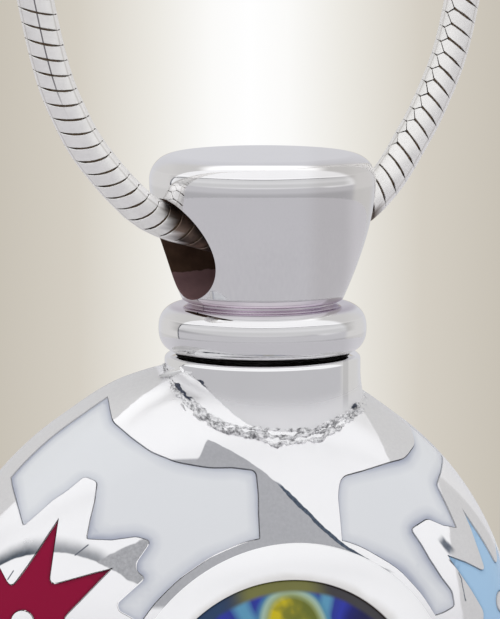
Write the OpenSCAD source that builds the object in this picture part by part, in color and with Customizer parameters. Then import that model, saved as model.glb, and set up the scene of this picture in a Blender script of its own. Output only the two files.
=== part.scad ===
// Cremation pendant: a small round silver flask with enamel inlays, a glass cabochon and a stopper cap,
// hanging by the bore of its cap from a closed loop of snake chain.
// Origin: the underside of the clasp at the top of the loop, where the chain is held. +Z up, loop in XZ.

/* [Flask] */
// Radius of the round body, seen from the front
body_r = 10.2; // [9.6:0.1:11]
// Height of the domed front (and back) over the middle plane
dome_h = 5.5; // [5.2:0.1:6]
// Radius of the rounded rim, seen from the side
rim_r = 4; // [3.6:0.1:4.4]
// Wall of the hollow body
wall = 0.9; // [0.8:0.05:1]
// How far the body's middle lies left of the neck's axis
body_shift = 1.2; // [0:0.1:1.4]
// Turn of the flask about its neck, measured from the loop's plane
flask_turn = -10; // [-15:1:0]

/* [Neck] */
// Outer radius of the neck
neck_r = 3.27; // [3.1:0.01:3.4]
// Height of the neck's rim above the body's middle
neck_top = 10.35; // [10.25:0.05:10.5]
// Radius of the bore through the neck
neck_bore_r = 1.7; // [1.6:0.05:1.9]

/* [Cap] */
// Height of the cap's flat top above the body's middle
cap_top = 17; // [16.9:0.1:17.4]
// Greatest radius of the conical cap, near its top
cap_r = 3.72; // [3.6:0.01:3.8]
// Radius of the cone at its foot
cone_foot_r = 2.67; // [2.6:0.01:2.75]
// Height of the cone's foot above the body's middle
cone_foot = 12.3; // [12.2:0.02:12.34]
// Rounding of the cap's top edge
cap_round = 0.6; // [0.4:0.05:0.7]
// Outer radius of the collar ring
ring_r = 3.47; // [3.3:0.01:3.6]
// Height of the collar ring, which is round in section
ring_h = 1.62; // [1.5:0.01:1.64]
// Gap between the collar ring and the neck's rim
seam = 0.2; // [0.1:0.05:0.2]
// Radius of the bore that carries the chain
bore_r = 1.7; // [1.6:0.01:1.72]
// Height of that bore's axis above the body's middle
bore_z = 14.15; // [14.1:0.01:14.2]
// Length of the plain stem below the collar ring
stem_l = 4; // [3:0.5:5]

/* [Cabochon] */
// Radius of the glass, seen from the front
glass_r = 4.85; // [4.5:0.05:4.9]
// Place of its middle, right of and above the body's middle
glass_at = [0.5, -0.9];
// Height of the glass's top over the body's middle plane
glass_top = 7.6; // [7:0.1:8]
// Outer radius of the bezel at its foot
bezel_r = 5.8; // [5.6:0.05:6]
// Height of the bezel's lip over the body's middle plane
bezel_top = 5.95; // [5.8:0.05:6.1]

/* [Enamel] */
// Depth of the enamel in the silver
enamel_t = 0.32; // [0.25:0.01:0.4]
// Clearance round each inlay
gap = 0.03; // [0.02:0.01:0.05]
// Radius of the silver flange round the bezel
flange_r = 6.2; // [6:0.05:6.4]
// Width of the plain rim in front of the body's middle plane
rim_band = 0.6; // [0.4:0.05:0.8]
// Size of the stars, as a share of their drawn size
star_size = 1; // [0.97:0.01:1.02]
// Radius of the silver dot in the middle of a star
dot_r = 0.37; // [0.3:0.01:0.45]

/* [Chain] */
// Diameter of the snake chain
chain_d = 1.2; // [1:0.1:1.2]
// Radius of the loop's round top
loop_r = 38.5; // [38:0.1:39]
// Height of the loop's highest point above the body's middle
loop_top = 213; // [212.5:0.1:213.5]
// Length of the clasp
clasp_l = 10; // [9:0.5:12]
// Outer radius of the clasp
clasp_r = 1.3; // [1.2:0.05:1.5]

/* [Hidden] */
$fn = 96;

silver = [0.80, 0.80, 0.82];
white = [0.90, 0.91, 0.93];
crimson = [0.55, 0.08, 0.20];
sky = [0.60, 0.75, 0.86];

// The clasp's axis lies a little below the crown of the loop, so that both chain ends enter its sockets.
clasp_sag = 0.25;
// Height of the body's middle in the frame of the part
body_z = clasp_r - (loop_top - clasp_sag);
// Radius of the waist between the cone and the collar ring, and of the stem below it
waist_r = 2.45;
stem_r = neck_bore_r - 0.1;
// Heights of the glass's flat underside and of its girdle over the body's middle plane
glass_seat = 4.85;
girdle = 5.7;
// Number of sides of the chain's tube
chain_sides = 8;

// The body's section is a rim arc and a dome arc that meet tangentially at the angle rim_a.
rim_c = body_r - rim_r;
dome_r = (rim_c * rim_c + dome_h * dome_h - rim_r * rim_r) / (2 * (dome_h - rim_r));
rim_a = atan2(dome_r - dome_h, rim_c);
// Length along the dome from its middle to the end of the dome arc, and to the middle plane
s_dome = dome_r * (90 - rim_a) * PI / 180;
s_rim = s_dome + rim_r * rim_a * PI / 180;

// Radius from the body's axis of a point that lies s along the surface from the middle of the dome
function out_r(s) =
    s < s_dome ? dome_r * sin(s / dome_r * 180 / PI)
    : s < s_rim ? rim_c + rim_r * cos(rim_a - (s - s_dome) / rim_r * 180 / PI)
    : body_r + s - s_rim;

// A flat outline point laid on to the domed front, keeping its direction and its length along the surface
function onto(p) = norm(p) > 0 ? p * out_r(norm(p)) / norm(p) : p;
function lay(points) = [for (p = points) onto(p)];

// Points of an arc about c, from angle a to angle b in n steps
function arc(c, r, a, b, n) = [for (i = [0 : n]) c + r * [cos(a + (b - a) * i / n), sin(a + (b - a) * i / n)]];

// Section of the flask's body, inset by d: radius from its axis, then height over the middle plane
function half_section(d) = concat(
    arc([rim_c, 0], rim_r - d, 0, rim_a, 6),
    [for (p = arc([0, dome_h - dome_r], dome_r - d, rim_a, 90, 6)) if (p.x < out_r(s_dome) - 0.3) [max(p.x, 0), p.y]]);
function reversed(list) = [for (i = [len(list) - 1 : -1 : 0]) list[i]];
function section(d) = concat(
    [for (p = reversed(half_section(d))) [p.x, -p.y]],
    [for (i = [1 : len(half_section(d)) - 1]) half_section(d)[i]]);

// Outlines on the front lie flat, right and up from the body's middle. Angles are from the right, upwards.
function polar(c, r, a) = c + r * [cos(a), sin(a)];

// A star's nine arms, cut by hand: angle and radius of each tip of the enamel and the notch after it, and of
// each tip of the silver border and the notch after it. Arms 3 to 6 run out on the rim.
TIP = 0;
NOTCH = 2;
BORDER_TIP = 4;
BORDER_NOTCH = 6;
star_arms = [
    [29, 3.55, 48, 1.6, 30, 5.1, 49, 3.5],
    [66, 3.7, 97, 1.25, 61, 5.4, 87, 3.2],
    [112, 3.5, 131, 1.4, 98, 5.7, 126, 4.5],
    [150, 3.4, 169, 1.4, 148, 5.4, 168, 4.4],
    [188, 3.5, 208, 1.5, 188, 5.4, 207, 4.4],
    [228, 3.4, 249, 1.4, 226, 5.4, 250, 4.4],
    [268, 3.7, 287, 1.4, 272, 5.2, 290, 3.4],
    [308, 3.5, 327, 1.5, 308, 5, 328, 3.8],
    [347, 3.3, 368, 1.5, 350, 4.9, 371, 3.3],
];
// Where each star sits: distance and direction from the cabochon's middle, its turn, and -1 if mirrored
STAR_DISTANCE = 0;
STAR_ANGLE = 1;
STAR_TURN = 2;
STAR_SIDE = 3;
stars = [
    [9.6, 158, 0, 1],
    [9.4, 19.5, -4, -1],
    [9.4, 234, 76, 1],
    [9.4, 306, -76, -1],
];
function star_middle(s) = polar(glass_at, s[STAR_DISTANCE], s[STAR_ANGLE]);
// Outline through the tips and notches in the named columns, grown by g
function star_outline(s, tip, notch, g) =
    [for (arm = star_arms) each [for (column = [tip, notch])
        let (a = s[STAR_TURN] + (s[STAR_SIDE] > 0 ? arm[column] : 180 - arm[column]))
        polar(star_middle(s), star_size * arm[column + 1] + (column == tip ? 2 : 1) * g, a)]];

// Silver patch below the neck, with the path that runs down to the bezel
patch = [[-5.4, 12.6], [-5.1, 11], [-5, 9.6], [-4.4, 8.8], [-3.8, 8.2], [-3, 7.8], [-2, 7.6], [-0.3, 7.45],
         [-0.5, 4], [2.4, 4], [2.5, 6.5], [2.7, 7.05], [3.6, 7.2], [4.9, 7.5], [5.5, 7.6], [6.4, 8.2],
         [7, 9.2], [6.9, 10.6], [7.2, 12.4]];
patch_middle = [1, 9.5];
function grown(points, c, g) = [for (p = points) p + g * (p - c) / norm(p - c)];

// Directions from the cabochon's middle between which each cell of white enamel lies
CELL_FROM = 0;
CELL_TO = 1;
cells = [[85, 158], [19.5, 85], [158, 234], [234, 306], [306, 379.5]];

// Puts a shape drawn face up on the flask's front (right, up, out of the front) where the flask hangs
module on_flask() {
    translate([0, 0, body_z]) rotate([0, 0, flask_turn]) translate([-body_shift, 0, 0]) rotate([90, 0, 0])
        children();
}

// The body's round form, inset by d
module body_form(d) {
    rotate_extrude($fn = 120) polygon(section(d));
}

// A prism over an outline, out through the front
module prism(points) {
    translate([0, 0, rim_band / 2]) linear_extrude(dome_h + 2) polygon(points);
}

// The part of a star's outline or of the white field that one inlay takes up, before it is cut to depth
module star_form(i, g) {
    middle = star_middle(stars[i]);
    difference() {
        prism(lay(star_outline(stars[i], TIP, NOTCH, -g)));
        translate([onto(middle).x, onto(middle).y, 0]) cylinder(r = dot_r + g, h = dome_h + 4, $fn = 24);
    }
}

module cell_form(i, g) {
    a = cells[i][CELL_FROM];
    b = cells[i][CELL_TO];
    reach = 3 * body_r;
    difference() {
        prism([glass_at, polar(glass_at, reach, a), polar(glass_at, reach, (a + b) / 2), polar(glass_at, reach, b)]);
        prism(lay(grown(patch, patch_middle, g)));
        translate([glass_at.x, glass_at.y, 0]) cylinder(r = onto([flange_r, 0]).x + g, h = dome_h + 4);
        for (s = stars) prism(lay(star_outline(s, BORDER_TIP, BORDER_NOTCH, g)));
    }
}

// Cuts a form down to the layer between two depths under the front, in front of the plain rim
module layer(from, to, edge) {
    intersection() {
        difference() {
            body_form(from);
            body_form(to);
        }
        translate([-2 * body_r, -2 * body_r, rim_band + edge]) cube([4 * body_r, 4 * body_r, 2 * dome_h]);
        children();
    }
}

module inlay(tone) {
    color(tone) on_flask() layer(0, enamel_t, gap) children();
}

// A hollow flask whose front is sunk for the inlays, with its neck and the glass's bezel soldered on
module vessel() {
    neck_root = 5;
    bezel_root = 3.6;
    flare = 0.3;
    lip = 0.1;
    neck_section = [[0, neck_root], [neck_r + flare, neck_root], [neck_r + flare, 8.3], [neck_r, 9.1],
                    [neck_r, neck_top - lip], [neck_r - lip, neck_top], [0, neck_top]];
    bezel_section = [[0, bezel_root], [bezel_r, bezel_root], [bezel_r, bezel_top - 1], [bezel_r - lip, bezel_top - 0.5],
                     [bezel_r - 4 * lip, bezel_top - lip], [glass_r + 2 * lip, bezel_top],
                     [glass_r + gap, bezel_top - lip], [0, bezel_top - lip]];
    color(silver) difference() {
        union() {
            on_flask() difference() {
                body_form(0);
                for (i = [0 : len(cells) - 1]) layer(-1, enamel_t + gap, 0) cell_form(i, 0);
                for (i = [0 : len(stars) - 1]) layer(-1, enamel_t + gap, 0) star_form(i, 0);
            }
            on_flask() translate([glass_at.x, glass_at.y, 0]) rotate_extrude() polygon(bezel_section);
            translate([0, 0, body_z]) rotate_extrude() polygon(neck_section);
        }
        on_flask() body_form(wall);
        on_flask() translate([glass_at.x, glass_at.y, glass_seat - gap]) cylinder(r = glass_r + gap, h = 3);
        translate([0, 0, body_z]) cylinder(r = neck_bore_r, h = neck_top + 1);
    }
}

module glass() {
    crown = glass_top - girdle;
    crown_r = (glass_r * glass_r + crown * crown) / (2 * crown);
    crown_a = asin(glass_r / crown_r);
    color([0.10, 0.15, 0.55]) on_flask() translate([glass_at.x, glass_at.y, 0]) rotate_extrude()
        polygon(concat([[0, glass_seat], [glass_r, glass_seat]],
                       [for (p = arc([0, glass_top - crown_r], crown_r, 90 - crown_a, 90, 8)) [max(p.x, 0), p.y]]));
}

// Stopper with the chain's bore through it, a narrow waist, the collar ring and the stem that fills the neck
module cap() {
    ring_z = neck_top + seam + ring_h / 2;
    cap_section = concat(
        [[0, neck_top + seam - stem_l], [stem_r, neck_top + seam - stem_l], [stem_r, neck_top + seam],
         [ring_r - ring_h / 2, neck_top + seam]],
        arc([ring_r - ring_h / 2, ring_z], ring_h / 2, -75, 75, 6),
        [[waist_r, ring_z + ring_h / 2], [waist_r, cone_foot], [cone_foot_r, cone_foot]],
        arc([cap_r - cap_round, cap_top - cap_round], cap_round, 0, 90, 5),
        [[0, cap_top]]);
    color(silver) translate([0, 0, body_z]) difference() {
        rotate_extrude() polygon(cap_section);
        translate([-2 * cap_r, 0, bore_z]) rotate([0, 90, 0]) cylinder(r = bore_r, h = 4 * cap_r);
    }
}

// Half routes of the chain, from the middle of the cap's bore up either side: across, above the body's middle
route_left = [[-1.5, 14.5], [-2.8, 14.85], [-3.6, 15.1], [-4.4, 15.5], [-5.1, 16.1], [-5.9, 16.95], [-6.6, 17.85],
              [-7.1, 18.75], [-7.5, 19.6], [-7.8, 20.5], [-8.2, 22.1], [-9, 26], [-11.8, 40], [-15.8, 60],
              [-19.9, 80], [-24, 100], [-28.1, 120], [-32.2, 140], [-35.3, 155]];
route_right = [[1.5, 14.5], [2.8, 14.85], [3.6, 15.1], [4.4, 15.6], [5, 16.2], [5.6, 17.1], [6.2, 18], [6.65, 18.9],
               [7.05, 19.75], [7.35, 20.6], [7.7, 22.1], [8.6, 26], [11.6, 40], [15.8, 60],
               [19.9, 80], [24, 100], [28.1, 120], [32.2, 140], [35.3, 155]];
route_low = [0, 14.4];
// The round top starts where the straight strands touch it and ends inside the clasp's sockets.
top_from = -11.6;
top_to = 84.6;
top_steps = 13;
top_middle = [0, loop_top - loop_r];
top_right = arc(top_middle, loop_r, top_from, top_to, top_steps);
top_left = [for (p = top_right) [-p.x, p.y]];
route = concat(reversed(top_left), reversed(route_left), [route_low], route_right, top_right);

// Direction of the route at point i, in its plane
function heading(i) =
    let (a = route[max(i - 1, 0)], b = route[min(i + 1, len(route) - 1)]) (b - a) / norm(b - a);
// Ring i of the tube: turned square to the heading
function ring(i) =
    let (t = heading(i))
    [for (k = [0 : chain_sides - 1])
        let (a = (k + 0.5) * 360 / chain_sides, side = chain_d / 2 * cos(a))
        [route[i].x - t.y * side, chain_d / 2 * sin(a), route[i].y + t.x * side + body_z]];

module chain() {
    n = len(route);
    points = [for (i = [0 : n - 1]) each ring(i)];
    walls = [for (i = [0 : n - 2]) for (k = [0 : chain_sides - 1])
        let (next = (k + 1) % chain_sides)
        [i * chain_sides + k, i * chain_sides + next, (i + 1) * chain_sides + next, (i + 1) * chain_sides + k]];
    start = [for (k = [chain_sides - 1 : -1 : 0]) k];
    end = [for (k = [0 : chain_sides - 1]) (n - 1) * chain_sides + k];
    color(silver) polyhedron(points, concat(walls, [start, end]));
}

// Plain barrel that joins the two ends of the chain, with a socket in each end
module clasp() {
    socket_r = chain_d / 2 + 0.15;
    socket_l = 1.8;
    barrel = [[0, -clasp_l / 2], [clasp_r - 0.3, -clasp_l / 2], [clasp_r, -clasp_l / 2 + 0.5],
              [clasp_r, clasp_l / 2 - 0.5], [clasp_r - 0.3, clasp_l / 2], [0, clasp_l / 2]];
    color(silver) translate([0, 0, clasp_r]) rotate([0, 90, 0]) difference() {
        rotate_extrude($fn = 48) polygon(barrel);
        for (side = [0, 1]) mirror([0, 0, side]) translate([0, 0, clasp_l / 2 - socket_l])
            cylinder(r = socket_r, h = socket_l + 1, $fn = 32);
    }
}

chain();
clasp();
cap();
vessel();
glass();
inlay(white) cell_form(0, gap);  // enamel_upper_left
inlay(white) cell_form(1, gap);  // enamel_upper_right
inlay(white) cell_form(2, gap);  // enamel_left
inlay(white) cell_form(3, gap);  // enamel_bottom
inlay(white) cell_form(4, gap);  // enamel_right
inlay(crimson) star_form(0, gap);  // star_upper_left
inlay(sky) star_form(1, gap);  // star_upper_right
inlay(sky) star_form(2, gap);  // star_lower_left
inlay(crimson) star_form(3, gap);  // star_lower_right
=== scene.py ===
"""Cremation pendant: the looks of a small round silver flask with enamel stars and a glass cabochon, hanging
by the bore of its cap from a snake chain. Sizes are in millimetres until a piece is set in its place."""

from collections import namedtuple
import math

import bpy
from mathutils import Matrix, Vector, noise


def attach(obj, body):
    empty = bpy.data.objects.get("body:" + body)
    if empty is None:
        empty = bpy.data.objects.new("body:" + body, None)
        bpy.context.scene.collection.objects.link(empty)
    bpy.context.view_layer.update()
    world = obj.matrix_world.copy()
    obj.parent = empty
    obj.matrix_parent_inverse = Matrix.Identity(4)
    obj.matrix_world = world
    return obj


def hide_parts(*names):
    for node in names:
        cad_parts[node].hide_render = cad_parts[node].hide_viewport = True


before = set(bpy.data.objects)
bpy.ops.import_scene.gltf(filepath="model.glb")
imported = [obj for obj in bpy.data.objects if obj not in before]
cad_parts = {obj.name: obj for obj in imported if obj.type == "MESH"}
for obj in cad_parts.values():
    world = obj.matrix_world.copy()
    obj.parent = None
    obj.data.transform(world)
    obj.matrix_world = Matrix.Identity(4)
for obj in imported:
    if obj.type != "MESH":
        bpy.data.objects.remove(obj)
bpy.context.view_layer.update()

MM = 0.001

# Flask: round body with a domed front and back that meet at a rounded rim
BODY_R = 10.2
DOME_H = 5.5
RIM_R = 4.0
BODY_SHIFT = 1.36
FLASK_TURN = math.radians(-10)
RIM_BAND = 0.6
# The body swells by this much beside the neck, out to these angles from its upright
SWELL = 0.16
SWELL_FULL, SWELL_END, SWELL_MIDDLE = 20, 34, 2
# The glass, the stars and the patch are placed from a line this far right of the body's middle
DRAWN_FROM = 0.16
# Neck and cap, heights above the middle of the body
NECK_R = 3.27
NECK_TOP = 10.35
NECK_LIP = NECK_TOP + 0.13
NECK_BORE_R = 1.7
NECK_FROM = 5.2
# The opening in the body, covered by the neck's wall
OPENING_R = 2.4
SEAM = 0.2
RING_R = 3.47
RING_H = 1.62
RING_TOP = NECK_TOP + SEAM + RING_H
WAIST_R = 2.45
CONE_FOOT = 12.3
CONE_FOOT_R = 2.67
CAP_TOP = 17.17
CAP_R = 3.77
CAP_ROUND = 0.86
CAP_BULGE = Vector((3.74, 14.7))
CAP_BORE_R = 1.7
CAP_BORE_Z = 14.15
BORE_WIDER = 1.09
STEM_R = 1.6
STEM_L = 4.0
# Cabochon and its bezel
GLASS_R = 4.76
GLASS_OFF = -0.38
GLASS_AT = Vector((0.5 + DRAWN_FROM, -0.9))
GLASS_TOP = 7.6
GLASS_SEAT = 4.85
GIRDLE = 5.7
BEZEL_R = 5.8
BEZEL_FROM = 4.3
LIP_TOP = 5.75
FLANGE_R = 6.07
# Yellow blobs in the glass: across and up from its middle, half width, half height
GLASS_BLOBS = [(0.0, 3.45, 1.02, 0.98), (2.3, 0.4, 0.7, 1.0), (-2.2, -0.9, 0.9, 0.7), (0.9, -3.1, 0.8, 0.6)]
# Chain and clasp
CHAIN_R = 0.6
LOOP_R = 38.5
LOOP_TOP = 213.0
CLASP_L = 10.0
CLASP_R = 1.3
CLASP_SAG = 0.25
# Chain plates: half round, front and back in turn, leaning along the chain, with a tip at either end
PLATE_R = 0.59
PLATE_INNER_R = 0.46
PLATE_STEPS = 11
PLATE_TIP = math.radians(9)
PLATE_LEAN = 0.25
CHAIN_PITCH = 0.52
CORE_R = 0.50
# Along the route: where the seam comes round, where the bore's shade is painted, the stretch with a dark line
SEAM_FROM, SEAM_TO = 3.9, 7.8
BORE_SHADE_FROM, BORE_SHADE_TO = 3.45, 3.7
LINE_FROM, LINE_TO = 9.2, 40
BODY_Z = CLASP_R - (LOOP_TOP - CLASP_SAG)

# The camera: direction, distance, height of its aim, and how far that lies left of the hanging line
VIEW_TURN = math.radians(-28)
VIEW_RISE = math.radians(7.5)
VIEW_FAR = 150
AIM_Z = -199.5
AIM_LEFT = 12.5 / 30
LENS, SENSOR = 324, 36
# Height, in degrees, of a dark rail in the light tent's front, and how far it sinks by the sides
RAIL_RISE, RAIL_SAG = 42, 21.6
# Height and radius of the floor, in metres
FLOOR_Z, FLOOR_R = -0.42, 1.0

# The body's section: a rim arc and a dome arc that touch at the angle RIM_A
RIM_C = BODY_R - RIM_R
DOME_R = (RIM_C ** 2 + DOME_H ** 2 - RIM_R ** 2) / (2 * (DOME_H - RIM_R))
RIM_A = math.atan2(DOME_R - DOME_H, RIM_C)
S_DOME = DOME_R * (math.pi / 2 - RIM_A)
# Length along the front to the edge of the enamel and to the end of the worked front
S_EDGE = S_DOME + RIM_R * (RIM_A - math.asin(RIM_BAND / RIM_R))
S_FRONT = S_DOME + RIM_R * (RIM_A + math.radians(40))
# Heights over the flat front: the silver's underside and face, the enamel's face, then the lower and upper
# ends of the enamel's pockets and of the cutters
SKIN_LOW, SILVER_TOP, ENAMEL_TOP = -0.33, 0.03, -0.01
POCKET_LOW, POCKET_HIGH = -0.5, 0.5
CUT_LOW, CUT_HIGH = -2.0, 2.0
# The groove round each inlay, how deep its sides go, and how far the edges of silver and enamel are rounded
GROOVE, INLAY_DEPTH = 0.035, 0.3
SILVER_ROUND, ENAMEL_ROUND = 0.07, 0.04
# Pitch of the lattices that let the silver and the enamel bend
SILVER_PITCH, ENAMEL_PITCH = 0.35, 0.2
# How far in from their edge the white cells and the stars are shaded
CELL_SHADE, STAR_SHADE = 0.7, 0.18
DOT_R = 0.37

# Enamel of a star's arms, seen from its middle: angle and radius of a tip, then of the notch after it
ARMS_LEFT = [(30, 3.52, 53, 1.55), (69, 3.73, 108, 1.2), (116, 3.5, 134, 1.4), (150, 3.4, 169, 1.4),
             (188, 3.5, 208, 1.5), (228, 3.4, 249, 1.4), (268, 3.7, 287, 1.4), (308, 3.5, 327, 1.5),
             (345, 3.3, 362, 1.3)]
ARMS_RIGHT = [(31, 3.34, 48, 1.47), (62, 3.81, 90, 1.3), (108, 3.5, 128, 1.4), (148, 3.4, 168, 1.4),
              (188, 3.5, 208, 1.5), (228, 3.4, 249, 1.4), (268, 3.6, 288, 1.4), (308, 3.4, 343, 1.2)]
# Silver border round a star: angle and radius of its corners
BORDER_REST = [(98, 5.7), (126, 4.5), (148, 5.4), (168, 4.4), (188, 5.4), (207, 4.4), (226, 5.4), (250, 4.4),
               (272, 5.2), (290, 3.4), (308, 5.0), (328, 3.8), (350, 4.9)]
BORDER_LEFT = ([(31, 5.0), (35, 4.75), (51, 3.47), (60, 5.35), (65, 5.36), (89, 3.25)] + BORDER_REST
               + [(362, 3.5), (366, 3.15), (371, 3.15), (379, 4.27), (383, 4.1), (387, 4.25)])
BORDER_RIGHT = ([(31, 5.04), (39, 4.66), (49, 3.44), (55, 5.06), (60, 5.19), (80, 5.9)] + BORDER_REST
                + [(356, 2.95), (359, 2.55), (370, 2.7), (383, 3.85)])
# Stars: distance and direction from the cabochon's middle, turn, side (1 as drawn, -1 mirrored), colour
Star = namedtuple("Star", "name away bearing turn side slot arms border")
STARS = [
    Star("star_upper_left", 9.6, 158, 0, 1, "crimson_enamel", ARMS_LEFT, BORDER_LEFT),
    Star("star_upper_right", 9.4, 19.5, -4, -1, "sky_enamel", ARMS_RIGHT, BORDER_RIGHT),
    Star("star_lower_left", 9.4, 234, 76, 1, "sky_enamel", ARMS_LEFT, BORDER_LEFT),
    Star("star_lower_right", 9.4, 306, -76, -1, "crimson_enamel", ARMS_LEFT, BORDER_LEFT),
]
# Silver below the neck, with the path that runs down to the bezel
PATCH = [(-5.4, 12.6), (-5.1, 11), (-5, 9.6), (-4.4, 8.8), (-3.8, 8.2), (-3, 7.8), (-2, 7.6), (-0.3, 7.45),
         (-0.5, 4), (2.4, 4), (2.5, 6.5), (2.7, 7.05), (3.6, 7.2), (4.9, 7.5), (5.5, 7.6), (6.4, 8.2),
         (7, 9.2), (6.9, 10.6), (7.2, 12.4)]
# Cells of white enamel, by direction from the cabochon's middle
CELLS = [("enamel_upper_left", 85, 158), ("enamel_upper_right", 19.5, 85), ("enamel_left", 158, 234),
         ("enamel_bottom", 234, 306), ("enamel_right", 306, 379.5)]
# Marks on the front: scratches, and dark spots with their widths by the right star's lower arm
SCRATCHES = [((-6.60, 4.88), (-6.13, 5.23)), ((-8.89, 4.11), (-8.67, 4.43))]
SPOTS = [((6.45, 4.70), (6.82, 4.30), 0.17), ((6.72, 4.42), (6.86, 4.22), 0.20),
         ((6.72, 3.98), (7.02, 3.66), 0.07), ((7.08, 3.5), (7.3, 2.5), 0.03)]
# Solder beads round the neck's foot: how far out, how thick, and a number that sets their crumbs
SOLDER_ROWS = [(-0.05, 0.07, 2.0), (0.05, 0.08, 9.0), (0.14, 0.07, 17.0)]
SOLDER_POINTS = 420

# Chain route from the cap's bore up either side: across, above the middle of the body
ROUTE_LOW = (0, 14.4)
ROUTE_LEFT = [(-1.5, 14.5), (-2.8, 14.85), (-3.6, 15.1), (-4.4, 15.5), (-5.1, 16.1), (-5.9, 16.95),
              (-6.6, 17.85), (-7.1, 18.75), (-7.5, 19.6), (-7.8, 20.5), (-8.2, 22.1), (-9, 26), (-11.8, 40),
              (-15.8, 60), (-19.9, 80), (-24, 100), (-28.1, 120), (-32.2, 140), (-35.3, 155)]
ROUTE_RIGHT = [(1.5, 14.5), (2.8, 14.85), (3.6, 15.12), (4.4, 15.72), (5, 16.38), (5.6, 17.25), (6.15, 18.1),
               (6.6, 18.95), (7, 19.8), (7.3, 20.65), (7.66, 22.1), (8.6, 26), (11.6, 40), (15.8, 60),
               (19.9, 80), (24, 100), (28.1, 120), (32.2, 140), (35.3, 155)]
TOP_FROM, TOP_TO, TOP_STEPS = -11.6, 84.6, 13


# Shaping helpers

def select_only(*pieces):
    """Selects these objects alone and makes the first one active."""
    bpy.ops.object.select_all(action="DESELECT")
    for piece in pieces:
        piece.select_set(True)
    if pieces:
        bpy.context.view_layer.objects.active = pieces[0]


def named(name):
    """The active object, under a new name."""
    piece = bpy.context.object
    piece.name = piece.data.name = name
    return piece


def open_mesh(piece):
    """Goes into edit mode on a piece with all of it selected."""
    select_only(piece)
    bpy.ops.object.mode_set(mode="EDIT")
    bpy.ops.mesh.select_all(action="SELECT")


def close_mesh():
    bpy.ops.object.mode_set(mode="OBJECT")


def face_outwards():
    """Points all faces of the open mesh outwards."""
    bpy.ops.mesh.select_all(action="SELECT")
    bpy.ops.mesh.normals_make_consistent(inside=False)


def settle(piece, matrix):
    """Moves a piece by a matrix and applies the move."""
    piece.matrix_world = matrix
    select_only(piece)
    bpy.ops.object.transform_apply(location=True, rotation=True, scale=True)


def draw_line(points):
    """Turns the new plane of the active piece into a line of edges, by extruding one vertex along points."""
    bpy.ops.object.mode_set(mode="EDIT")
    bpy.ops.mesh.select_mode(type="VERT")
    bpy.ops.mesh.select_all(action="SELECT")
    bpy.ops.mesh.merge(type="CENTER")
    bpy.ops.transform.translate(value=points[0])
    for here, there in zip(points, points[1:]):
        bpy.ops.mesh.extrude_vertices_move(TRANSFORM_OT_translate={"value": there - here})
    bpy.ops.mesh.select_all(action="SELECT")


def spun(name, points, steps, angle, axis):
    """A solid made by turning a line of points about an axis through the origin."""
    select_only()
    bpy.ops.mesh.primitive_plane_add(size=1)
    piece = named(name)
    draw_line(points)
    bpy.ops.mesh.spin(steps=steps, angle=angle, center=(0, 0, 0), axis=axis)
    bpy.ops.mesh.select_all(action="SELECT")
    bpy.ops.mesh.remove_doubles(threshold=0.0005)
    if angle < 2 * math.pi:
        bpy.ops.mesh.select_all(action="SELECT")
        bpy.ops.mesh.fill_holes(sides=0)
    face_outwards()
    close_mesh()
    return piece


def turned(name, profile, steps):
    """A solid turned on the Z axis from a profile of (radius, height) points."""
    return spun(name, [Vector((r, 0, z)) for r, z in profile], steps, 2 * math.pi, (0, 0, 1))


def arc(cx, cz, r, start, end, steps):
    """Points of an arc, angles in degrees."""
    angles = [math.radians(start + (end - start) * i / steps) for i in range(steps + 1)]
    return [(cx + r * math.cos(a), cz + r * math.sin(a)) for a in angles]


def squarer_arc(cx, cz, r, power, steps):
    """Half an arc from below to above that is fuller than a circle."""
    points = []
    for i in range(steps + 1):
        a = math.radians(-90 + 180 * i / steps)
        c, z = abs(math.cos(a)) ** (2 / power), abs(math.sin(a)) ** (2 / power)
        points.append((cx + r * c, cz + math.copysign(r * z, a)))
    return points


def bow(low, middle, high, steps):
    """Points of a curve from low to high that is drawn towards the middle point."""
    shares = [i / steps for i in range(steps + 1)]
    return [tuple(low * (1 - t) ** 2 + middle * 2 * t * (1 - t) + high * t ** 2) for t in shares]


def plate(name, outline, bottom, top):
    """A flat plate over an outline, between two heights."""
    select_only()
    bpy.ops.mesh.primitive_circle_add(vertices=len(outline), radius=1, fill_type="NGON")
    piece = named(name)
    for vertex, point in zip(piece.data.vertices, outline):
        vertex.co = (point[0], point[1], bottom)
    open_mesh(piece)
    bpy.ops.mesh.extrude_region_move(TRANSFORM_OT_translate={"value": (0, 0, top - bottom)})
    face_up(piece, top)
    return piece


def face_up(piece, top):
    """Points the faces of a flat piece outwards, judged by its upper face, and leaves edit mode."""
    face_outwards()
    close_mesh()
    if any(face.normal.z < -0.9 and face.center.z > top - 0.001 for face in piece.data.polygons):
        open_mesh(piece)
        bpy.ops.mesh.flip_normals()
        close_mesh()


def combine(piece, tool, operation="DIFFERENCE", keep=False):
    """Cuts a piece with a tool, or keeps only what they share."""
    select_only(piece)
    change = piece.modifiers.new("Cut", "BOOLEAN")
    change.operation, change.object, change.solver = operation, tool, "EXACT"
    bpy.ops.object.modifier_apply(modifier=change.name)
    if not keep:
        bpy.data.objects.remove(tool)


def lattice(piece, pitch):
    """Cuts a flat piece along a square lattice, so that it can bend."""
    low = [min(v.co[k] for v in piece.data.vertices) for k in (0, 1)]
    high = [max(v.co[k] for v in piece.data.vertices) for k in (0, 1)]
    open_mesh(piece)
    for k, across in ((0, (1, 0, 0)), (1, (0, 1, 0))):
        for i in range(math.ceil(low[k] / pitch), math.floor(high[k] / pitch) + 1):
            bpy.ops.mesh.select_all(action="SELECT")
            bpy.ops.mesh.bisect(plane_co=[i * pitch * c for c in across], plane_no=across)
    close_mesh()


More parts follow.
